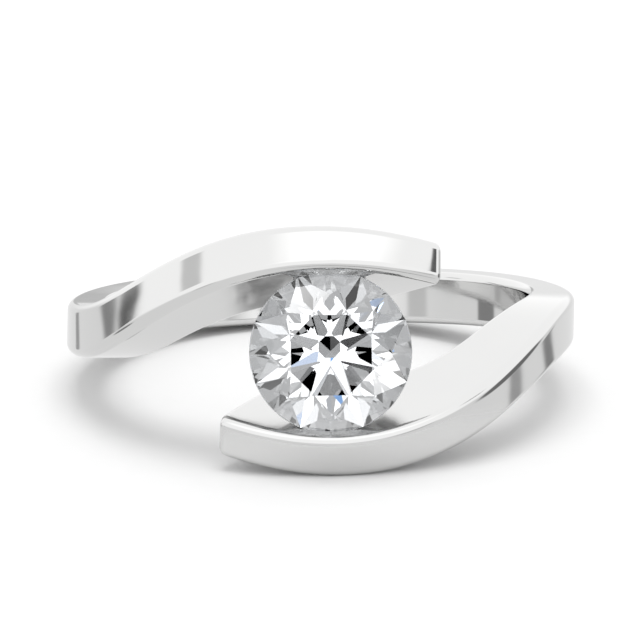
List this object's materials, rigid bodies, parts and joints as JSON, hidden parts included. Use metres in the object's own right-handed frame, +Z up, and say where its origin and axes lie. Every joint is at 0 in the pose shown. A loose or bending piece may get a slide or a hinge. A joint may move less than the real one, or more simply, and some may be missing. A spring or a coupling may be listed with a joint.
{
  "type": "solitaire ring",
  "caption": "Polished white metal ring whose two twisted arms pass over and under one round brilliant stone and grip its girdle.",
  "frame": {"origin": "middle of the bounding box on the floor that the ring lies on", "axes": "+Z up from the floor, the stone faces -Y and slightly up, +X to the right seen from the stone's side"},
  "size_m": [0.021, 0.0234, 0.0098],
  "materials": {
    "white_gold": "mirror polish",
    "stone": "clear, cut and polished facets"
  },
  "bodies": {
    "root": {"band": "white_gold", "stone": "stone"}
  },
  "joints": []
}
